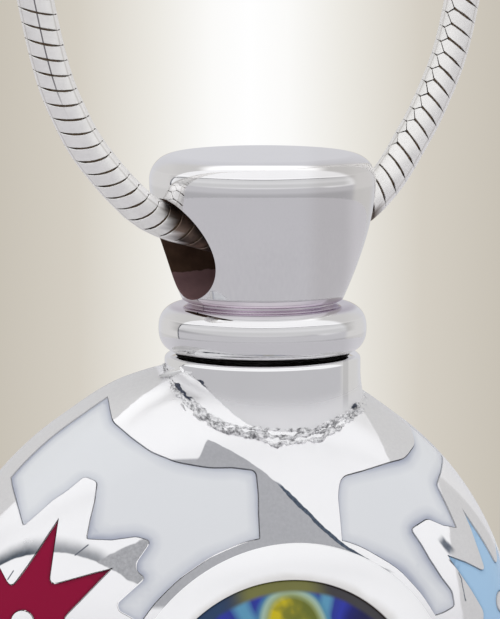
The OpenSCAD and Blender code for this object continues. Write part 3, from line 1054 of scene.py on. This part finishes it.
def star_pocket(star):
    """A solid for a star's enamel, cut at the enamel's edge and with a hole for its silver dot."""
    outline = hand_cut(rounded(star_outline(star, star_corners(star)), 0.04, 0.28), 0.7, 0.05, 5.1)
    piece = plate(star.name + "_pocket", outline, POCKET_LOW, POCKET_HIGH)
    combine(piece, plate("edge", circle((0, 0), S_EDGE, 2), CUT_LOW, CUT_HIGH), "INTERSECT")
    combine(piece, plate("dot", circle(star_middle(star), DOT_R, 15), CUT_LOW, CUT_HIGH))
    return piece


def make_front():
    """The worked front: silver with pockets, and the enamel cells and stars that fill them."""
    pockets = cell_pockets()
    for star in STARS:
        pockets.append((star.name, star_pocket(star), star.slot))
    skin = plate("flask_front", circle((0, 0), S_FRONT, 2), SKIN_LOW, SILVER_TOP)
    for name, piece, slot in pockets:
        combine(skin, piece, keep=True)
    combine(skin, plate("cutter", neck_footprint(), CUT_LOW, CUT_HIGH))
    round_upper_edges(skin, SILVER_TOP, SILVER_ROUND, 3, within=S_FRONT - 0.01)
    lattice(skin, SILVER_PITCH)
    carry(skin, "on_front", lambda co: co - Vector((DRAWN_FROM, 0, 0)))
    facings = lay_on_front(skin, SILVER_TOP)
    set_piece(skin, "vessel", "polished_silver", front_silver, "vessel", smooth=35, facings=facings)
    for name, piece, slot in pockets:
        make_inlay(name, piece, slot)


def make_inlay(name, pocket, slot):
    """An enamel inlay: its outline drawn in a hair, its edge rounded, bent on to the front."""
    select_only(pocket)
    bpy.ops.object.duplicate(linked=False)
    inlay = named(name.replace("enamel_", "cell_").replace("star_", "inlaid_star_"))
    bpy.data.objects.remove(pocket)
    # The flat upper face alone, drawn in by the groove's width
    open_mesh(inlay)
    bpy.ops.mesh.select_mode(type="FACE")
    bpy.ops.mesh.select_all(action="DESELECT")
    close_mesh()
    for face in inlay.data.polygons:
        face.select = face.normal.z < 0.5
    bpy.ops.object.mode_set(mode="EDIT")
    bpy.ops.mesh.delete(type="FACE")
    bpy.ops.mesh.select_all(action="SELECT")
    bpy.ops.mesh.inset(thickness=GROOVE, depth=0, use_boundary=True, use_even_offset=True)
    bpy.ops.mesh.select_all(action="INVERT")
    bpy.ops.mesh.delete(type="FACE")
    close_mesh()
    for vertex in inlay.data.vertices:
        vertex.co.z = ENAMEL_TOP
    rim = boundary_of(inlay)
    open_mesh(inlay)
    bpy.ops.mesh.extrude_region_move(TRANSFORM_OT_translate={"value": (0, 0, -INLAY_DEPTH)})
    face_up(inlay, ENAMEL_TOP)
    round_upper_edges(inlay, ENAMEL_TOP, ENAMEL_ROUND, 2)
    lattice(inlay, ENAMEL_PITCH)
    shade = CELL_SHADE if slot == "white_enamel" else STAR_SHADE
    from_edge = inlay.data.attributes.new("from_edge", "FLOAT", "POINT")
    for i, vertex in enumerate(inlay.data.vertices):
        near = min(distance_to_segment(vertex.co.to_2d(), a, b) for a, b in rim)
        from_edge.data[i].value = min(1.0, near / shade)
    facings = lay_on_front(inlay, ENAMEL_TOP)
    set_piece(inlay, "vessel", slot, ENAMELS[slot], name, smooth=35, facings=facings)


def boundary_of(piece):
    """The segments round a flat piece."""
    uses = {}
    for face in piece.data.polygons:
        for key in face.edge_keys:
            uses[key] = uses.get(key, 0) + 1
    points = piece.data.vertices
    return [(points[i].co.to_2d(), points[j].co.to_2d()) for (i, j), n in uses.items() if n == 1]


def distance_to_segment(p, a, b):
    along = b - a
    t = max(0, min(1, (p - a).dot(along) / max(along.length_squared, 1e-12)))
    return (p - a - along * t).length


def solder_radius(bearing):
    """How far from the neck's axis its foot ends, by bearing from the flask's front, wider on the left."""
    return NECK_R + 0.1 + 0.82 * math.exp(-((bearing + 53) / 32) ** 2)


def body_height(radius, bearing):
    """Height of the body's surface at a distance and bearing from the neck's axis."""
    across = BODY_SHIFT + radius * math.sin(math.radians(bearing))
    depth = radius * math.cos(math.radians(bearing))
    a = math.asin(max(-1, min(1, depth / RIM_R)))
    up = math.sqrt((RIM_C + RIM_R * math.cos(a)) ** 2 - across ** 2)
    return up + swell_at(across, up)


def at_bearing(radius, bearing, height):
    """The place at a bearing from the flask's front, round the neck's axis."""
    a = FLASK_TURN + math.radians(bearing - 90)
    return Vector((radius * math.cos(a), radius * math.sin(a), height + BODY_Z))


def make_neck():
    """The neck with its soft rim and a foot that spreads to the solder on the body."""
    spread_from = NECK_TOP - 0.45
    wall_foot, lip_round = 7.9, 0.15
    # How far out the painted shadow of the seam reaches, and how low the foot ends behind
    dark_r, foot_behind = 2.9, 9.5
    profile = [(NECK_BORE_R, NECK_FROM), (NECK_R, NECK_FROM), (NECK_R, 7.4)]
    profile += [(NECK_R, wall_foot + (NECK_LIP - lip_round - wall_foot) * i / 16) for i in range(17)]
    profile += arc(NECK_R - lip_round, NECK_LIP - lip_round, lip_round, 0, 90, 5)[1:]
    profile += [(dark_r, NECK_LIP), (NECK_BORE_R + 0.1, NECK_LIP), (NECK_BORE_R, NECK_LIP - 0.1),
                (NECK_BORE_R, 8.5), (NECK_BORE_R, NECK_FROM)]
    neck = turned("neck", [(r, z + BODY_Z) for r, z in profile], 160)
    add_materials(neck, neck_silver, painted_seam_shadow)
    # Painted shadow on the neck's top under the cap and down its bore
    for face in neck.data.polygons:
        r = face.center.to_2d().length
        on_top = face.center.z - BODY_Z > NECK_LIP - 0.01 and r < dark_r + 0.05
        face.material_index = 1 if on_top or r < NECK_BORE_R + 0.1 else 0
    facings = []
    towards_foot = neck.data.attributes.new("towards_foot", "FLOAT_VECTOR", "POINT")
    for vertex in neck.data.vertices:
        out = vertex.co.to_2d().normalized()
        height = vertex.co.z - BODY_Z
        if not (vertex.co.to_2d().length > NECK_R - 0.01 and 7 < height < NECK_TOP - 0.2):
            facings.append(Vector((0, 0, 0)))
            continue
        bearing = bearing_of(out)
        end = solder_radius(bearing)
        low = body_height(end, bearing) if abs(bearing) < 100 else foot_behind
        share = (spread_from - height) / (spread_from - low)
        vertex.co.xy = out * (NECK_R + (end - NECK_R) * max(0, min(1.15, share)) ** 1.7)
        towards_foot.data[vertex.index].vector = (max(0, share), 0, 0)
        facings.append(Vector((out.x, out.y, 0.02)).normalized())
    set_piece(neck, "vessel", "polished_silver", neck_silver, "vessel", smooth=35, facings=facings)


def new_curve(name, kind):
    """A new curve object in the scene, with one empty spline."""
    curve = bpy.data.curves.new(name, "CURVE")
    curve.dimensions = "3D"
    route = bpy.data.objects.new(name, curve)
    bpy.context.scene.collection.objects.link(route)
    return route, curve.splines.new(kind)


def solder_bead_row(lower, thick, seed):
    """One crumbly bead round the foot of the neck, thick in front and thin round the sides and back."""
    route, spline = new_curve("solder_route", "POLY")
    route.data.bevel_depth = thick
    route.data.bevel_resolution = 2
    spline.points.add(SOLDER_POINTS - 1)
    spline.use_cyclic_u = True
    for i, knot in enumerate(spline.points):
        bearing = 360 * i / SOLDER_POINTS - 180
        way = Vector((math.cos(math.radians(bearing)), math.sin(math.radians(bearing)), seed))
        radius = solder_radius(bearing) + lower + 0.06 * noise.noise(way * 3) + 0.05 * noise.noise(way * 12)
        front = max(0, 1 - (bearing / 100) ** 4)
        radius = NECK_R + 0.03 + (radius - NECK_R - 0.03) * front
        knot.co = (*at_bearing(radius, bearing, body_height(radius, bearing) + 0.03), 1)
        knot.radius = max(0.2, 1 + 0.9 * noise.noise(way * 7) + 0.5 * noise.noise(way * 21))
        knot.radius *= 1 - 0.9 * max(smooth_step(-bearing, 64, 68), smooth_step(bearing, 50, 54))
    select_only(route)
    bpy.ops.object.convert(target="MESH")
    return bpy.context.object


def make_solder():
    """The rough line of solder round the foot of the neck: three crumbly beads, one below the other."""
    beads = []
    for row, (lower, thick, seed) in enumerate(SOLDER_ROWS):
        bead = solder_bead_row(lower, thick, seed)
        bead.data.materials.clear()
        painted_shadow_and_spot = bead.data.attributes.new("painted_shadow_and_spot", "FLOAT_VECTOR", "POINT")
        for vertex in bead.data.vertices:
            bearing = bearing_of(vertex.co)
            # Painted shadow along the neck's foot on the left, and a small dark spot on the right
            if row == 0 and (-66 < bearing < -53 or 43 < bearing < 48):
                painted_shadow_and_spot.data[vertex.index].vector = (1, 0, 0)
            crumb = noise.noise(vertex.co * 6) * 0.05 + noise.noise(vertex.co * 15) * 0.06
            vertex.co += vertex.normal * crumb
        beads.append(bead)
    select_only(*beads)
    bpy.ops.object.join()
    solder = named("solder_bead")
    open_mesh(solder)
    face_outwards()
    close_mesh()
    set_piece(solder, "vessel", "polished_silver", solder_silver, "vessel", smooth=60)


def make_bezel():
    """The broad rounded bezel, wider on the right, where the glass sits off its middle."""
    foot_r = BEZEL_R + 0.03
    inner_r = GLASS_R + 0.01
    side_top, shoulder = Vector((foot_r, 4.75)), Vector((BEZEL_R - 0.05, 5.50))
    lip = Vector((GLASS_R + 0.06, LIP_TOP))
    profile = [(inner_r, BEZEL_FROM), (foot_r, BEZEL_FROM)]
    profile += bow(side_top, shoulder, lip, 16)
    profile += [(GLASS_R + 0.02, LIP_TOP - 0.02), (inner_r, LIP_TOP - 0.08), (inner_r, BEZEL_FROM)]
    bezel = turned("bezel", profile, 160)
    add_materials(bezel, bezel_silver, groove_brown)
    for face in bezel.data.polygons:
        face.material_index = 1 if face.center.to_2d().length < GLASS_R + 0.02 else 0
    carry(bezel, "from_middle", lambda co: co)
    facings = []
    for vertex in bezel.data.vertices:
        r = vertex.co.to_2d().length
        out = vertex.co.to_2d().normalized() * math.tan(math.radians(22 + 14 * (r - GLASS_R)))
        upper = vertex.co.z > 4.8 and r > GLASS_R + 0.03
        facings.append((HANG.to_3x3() @ Vector((*out, 1))).normalized() if upper else Vector((0, 0, 0)))
        vertex.co.x += GLASS_OFF * min(1, (foot_r - r) / (BEZEL_R - GLASS_R))
    settle(bezel, HANG @ Matrix.Translation((*GLASS_AT, 0)))
    set_piece(bezel, "vessel", "polished_silver", bezel_silver, "vessel", smooth=50, facings=facings)


def make_glass():
    """The cabochon, a clear crown over a straight girdle."""
    crown = GLASS_TOP - GIRDLE
    crown_r = (GLASS_R ** 2 + crown ** 2) / (2 * crown)
    crown_a = math.degrees(math.asin(GLASS_R / crown_r))
    profile = [(0, GLASS_SEAT), (GLASS_R, GLASS_SEAT)]
    profile += arc(0, GLASS_TOP - crown_r, crown_r, 90 - crown_a, 90, 40)[:-1] + [(0, GLASS_TOP)]
    glass = turned("cabochon", profile, 128)
    carry(glass, "from_middle", lambda co: co)
    for vertex in glass.data.vertices:
        vertex.co.x += GLASS_OFF
    settle(glass, HANG @ Matrix.Translation((*GLASS_AT, 0)))
    set_piece(glass, "vessel", "cabochon_glass", glass_finish, "glass", smooth=40)


# Chain and clasp

def chain_side(side):
    """Half the chain's route, from the middle of the bore up one side and into the clasp."""
    top = [(side * x, z) for x, z in arc(0, LOOP_TOP - LOOP_R, LOOP_R, TOP_FROM, TOP_TO, TOP_STEPS)]
    route = [ROUTE_LOW] + (ROUTE_RIGHT if side > 0 else ROUTE_LEFT) + top
    return [Vector((x, 0, z + BODY_Z)) for x, z in route]


def make_chain_plate(name, pitch, middle, shift):
    """One half-round plate of the chain, round the X axis, narrowing to a blunt tip at either end."""
    half, edge = (pitch - 0.012) / 2, 0.02
    section = [(-half, PLATE_R - edge), (-half + edge, PLATE_R), (half - edge, PLATE_R),
               (half, PLATE_R - edge), (0, PLATE_INNER_R)]
    start = middle + math.pi / 2 + PLATE_TIP
    line = [Vector((x, r * math.cos(start), r * math.sin(start))) for x, r in section + section[:1]]
    piece = spun(name, line, PLATE_STEPS, math.pi + 2 * PLATE_TIP, (1, 0, 0))
    add_materials(piece, chain_silver, groove_brown)
    for face in piece.data.polygons:
        face.material_index = 1 if math.hypot(face.center.y, face.center.z) < PLATE_R - 0.03 else 0
    along_plate = piece.data.attributes.new("along_plate", "FLOAT", "POINT")
    for vertex in piece.data.vertices:
        around = math.remainder(math.atan2(vertex.co.z, vertex.co.y) - middle, 2 * math.pi)
        past = (abs(around) - (math.pi / 2 - PLATE_TIP)) / (2 * PLATE_TIP)
        along_plate.data[vertex.index].value = vertex.co.x / half
        narrow = 0.94 - 0.90 * past if past > -0.01 else 1
        vertex.co.x = vertex.co.x * narrow + shift
    return piece


def shape_links(link, side, gap, seam_turn, seam_turn_low):
    """Leans the plates of a straight chain, opens the gaps between them and turns their seam, and lets the
    chain carry its facing and its marks: a dark line above 0, the bore's painted shade below 0."""
    photographer = VIEW_TURN if side < 0 else math.pi + VIEW_TURN
    around_chain = link.data.attributes.new("round_chain", "FLOAT_VECTOR", "POINT")
    along_plate = link.data.attributes["along_plate"]
    for i, vertex in enumerate(link.data.vertices):
        x, y, z = vertex.co
        turned_by = seam_turn_low + (seam_turn - seam_turn_low) * smooth_step(x, SEAM_FROM, SEAM_TO)
        turn = math.atan2(z, y) + turned_by
        # The gap between plates closes towards the chain's flanks
        gap_here = gap * smooth_step(abs(math.sin(turn)), 0.86, 0.6)
        gap_here *= 1 + 0.5 * noise.noise((x * 2, turn * 2, side))
        gap_here *= 1 + 0.5 * math.sin(turn) * max(0, side)
        x -= along_plate.data[i].value * gap_here / 2
        r = math.hypot(y, z)
        facing = turn + photographer
        vertex.co = (x - PLATE_LEAN * math.sin(turn), r * math.cos(facing), r * math.sin(facing))
        mark = max(0, min(1, x - LINE_FROM, (LINE_TO - x) / 8)) if side < 0 else 0
        # Painted shade from the bore, reaching further out on the plates' upper side
        in_bore = 1 - smooth_step(x - 0.85 * math.sin(turn), BORE_SHADE_FROM, BORE_SHADE_TO)
        around_chain.data[i].vector = (math.cos(turn), math.sin(turn), mark - in_bore)


def make_chain(name, side, gap, seam_turn, seam_turn_low):
    """Half of the snake chain: two half-round plates, repeated along the route, over a dark core. The seam
    between front and back plates stands at a turn from the side that faces the photographer, and at another
    turn low down by the cap."""
    points = chain_side(side)
    route, spline = new_curve(name + "_route", "BEZIER")
    route.data.resolution_u = 24
    route.data.twist_mode = "Z_UP"
    spline.bezier_points.add(len(points) - 1)
    for knot, point in zip(spline.bezier_points, points):
        knot.co = point
        knot.handle_left_type = knot.handle_right_type = "AUTO"
    bpy.context.view_layer.update()
    length = spline.calc_length()
    count = round(length / CHAIN_PITCH)
    pitch = length / count

    link = make_chain_plate(name, pitch, 0, pitch / 2)
    back = make_chain_plate("back_plate", pitch, math.pi, pitch)
    select_only(link, back)
    bpy.ops.object.join()
    rows = link.modifiers.new("Row", "ARRAY")
    rows.count = count - 1
    rows.use_relative_offset = False
    rows.use_constant_offset = True
    rows.constant_offset_displace = (pitch, 0, 0)
    select_only(link)
    bpy.ops.object.modifier_apply(modifier=rows.name)
    shape_links(link, side, gap, seam_turn, seam_turn_low)
    bend = link.modifiers.new("Bend", "CURVE")
    bend.object = route
    bend.deform_axis = "POS_X"
    select_only(link)
    bpy.ops.object.modifier_apply(modifier=bend.name)

    core = make_core(route)
    select_only(link, core)
    bpy.ops.object.join()
    set_piece(link, "chain", "chain_silver", chain_silver, "chain", smooth=32)


def make_core(route):
    """Turns a route into the dark round core of the chain, as a mesh."""
    route.data.bevel_depth = CORE_R
    route.data.bevel_resolution = 2
    route.data.resolution_u = 8
    route.data.use_fill_caps = True
    select_only(route)
    bpy.ops.object.convert(target="MESH")
    core = bpy.context.object
    core.data.materials.clear()
    add_materials(core, groove_brown)
    return core


def make_clasp():
    """A plain turned barrel with a socket for the chain in each end."""
    half = CLASP_L / 2
    socket_r, socket_l = CHAIN_R + 0.15, 1.8
    end_round, groove = 0.35, 0.12
    profile = [(0, half - socket_l), (socket_r, half - socket_l), (socket_r, half - 0.1),
               (socket_r + 0.1, half)]
    profile += arc(CLASP_R - end_round, half - end_round, end_round, 90, 0, 6)
    profile += [(CLASP_R, 2.1), (CLASP_R - groove, 1.98), (CLASP_R - groove, 1.82), (CLASP_R, 1.7),
                (CLASP_R, 0.1), (CLASP_R - 0.1, 0)]
    profile += [(r, -z) for r, z in reversed(profile[:-1])]
    clasp = turned("clasp_barrel", profile, 64)
    settle(clasp, Matrix.Translation((0, 0, CLASP_R)) @ Matrix.Rotation(math.pi / 2, 4, "Y"))
    set_piece(clasp, "chain", "polished_silver", polished_silver, "clasp", smooth=35)


# Studio

def make_camera():
    right = Vector((math.cos(VIEW_TURN), math.sin(VIEW_TURN), 0))
    back = Vector((math.sin(VIEW_TURN) * math.cos(VIEW_RISE), -math.cos(VIEW_TURN) * math.cos(VIEW_RISE),
                   math.sin(VIEW_RISE)))
    aim = Vector((0, 0, AIM_Z)) - right * AIM_LEFT
    data = bpy.data.cameras.new("camera")
    camera = bpy.data.objects.new("camera", data)
    bpy.context.scene.collection.objects.link(camera)
    data.sensor_width = SENSOR
    data.sensor_fit = "HORIZONTAL"
    data.lens = LENS
    data.clip_start, data.clip_end = 0.01, 20
    camera.location = (aim + back * VIEW_FAR) * MM
    camera.rotation_mode = "QUATERNION"
    camera.rotation_quaternion = back.to_track_quat("Z", "Y")
    bpy.context.scene.camera = camera


def make_studio():
    """A light tent: pale backdrop with a bright streak, white sides and roof, a grey low front, a thin dark
    rail high up and a dark seam on the left. Directions are read from the photographer's side."""
    world = bpy.data.worlds.new("studio")
    bpy.context.scene.world = world
    world.use_nodes = True
    tree = world.node_tree
    turn = tree.nodes.new("ShaderNodeMapping")
    turn.inputs["Rotation"].default_value = (0, 0, -VIEW_TURN)
    tree.links.new(tree.nodes.new("ShaderNodeTexCoord").outputs["Generated"], turn.inputs["Vector"])
    x, y, z = split(Field(tree, turn.outputs["Vector"]))
    # Degrees to the right of the photographer, and above the horizon
    across = maths("ARCTAN2", x, y * -1) * (180 / math.pi)
    rise = maths("ARCSINE", z) * (180 / math.pi)
    aside = abs(across)

    # Backdrop, with its streak straight behind the pendant
    streak = ramp((180 - aside) / 4.0, (0.0, (1.0, 1.0, 1.0)), (0.12, (0.97, 0.965, 0.95)),
                  (0.30, (0.84, 0.82, 0.77)), (0.55, (0.66, 0.62, 0.55)), (0.85, (0.565, 0.525, 0.455)))
    backdrop = mixed(step(aside, 140, 165), (0.67, 0.66, 0.65), (0.66, 0.66, 0.69))
    backdrop = mixed(step(aside, 170, 176) * step(rise, 2, -1), backdrop, streak)
    backdrop = mixed(step(rise, 50, 62), backdrop, (1.25, 1.25, 1.25))
    # Front: white tent, and grey below a soft shelf that ends on the right
    front = mixed(step(rise, 20, 60), (1.0, 1.0, 1.01), (1.05, 1.05, 1.06))
    shelf = 3.5 - step(across, 55, 75) * 3.5
    front = mixed(step(rise - shelf, 3.5, -3.5), front, (0.54, 0.535, 0.555))
    # A thin dark rail high up in front, lower towards the sides
    dark = (0.03, 0.035, 0.055)
    over_rail = rise + (aside / 104) ** 2.9 * RAIL_SAG - RAIL_RISE
    rail = band(over_rail, 0, 1.1) * step(aside, 108, 106) * step(across, 104, 70)
    front = mixed(rail * 0.9, front, dark)
    # The sides: a sharp edge with a dark seam on the left, a soft edge on the right
    beyond = maths("MAXIMUM", step(across, -106.5, -107.5), step(across, 101, 112))
    whole = mixed(beyond, front, backdrop)
    whole = mixed(band(across, -107, 1.1) * step(over_rail, 1, 0), whole, dark)
    feed(tree.nodes["Background"].inputs["Color"], whole)


def make_floor():
    """A plain pale floor under the hanging loop."""
    select_only()
    bpy.ops.mesh.primitive_circle_add(vertices=96, radius=FLOOR_R, fill_type="NGON",
                                      location=(0, 0, FLOOR_Z))
    floor = bpy.context.object
    floor.name = "floor"
    material, shader, place = finish_of("pale_floor")
    coat(shader, mottled(grain(place, 60, 3), (0.68, 0.67, 0.70), (0.72, 0.71, 0.735)), 0.9)
    add_materials(floor, material)


make_camera()
make_studio()
make_floor()
make_cap()
make_flask_back()
make_front()
make_neck()
make_solder()
make_bezel()
make_glass()
make_chain("chain_left", -1, 0.055, 0, 0)
make_chain("chain_right", 1, 0.05, math.radians(58), math.radians(8))
make_clasp()
bpy.context.scene.view_settings.view_transform = "Standard"
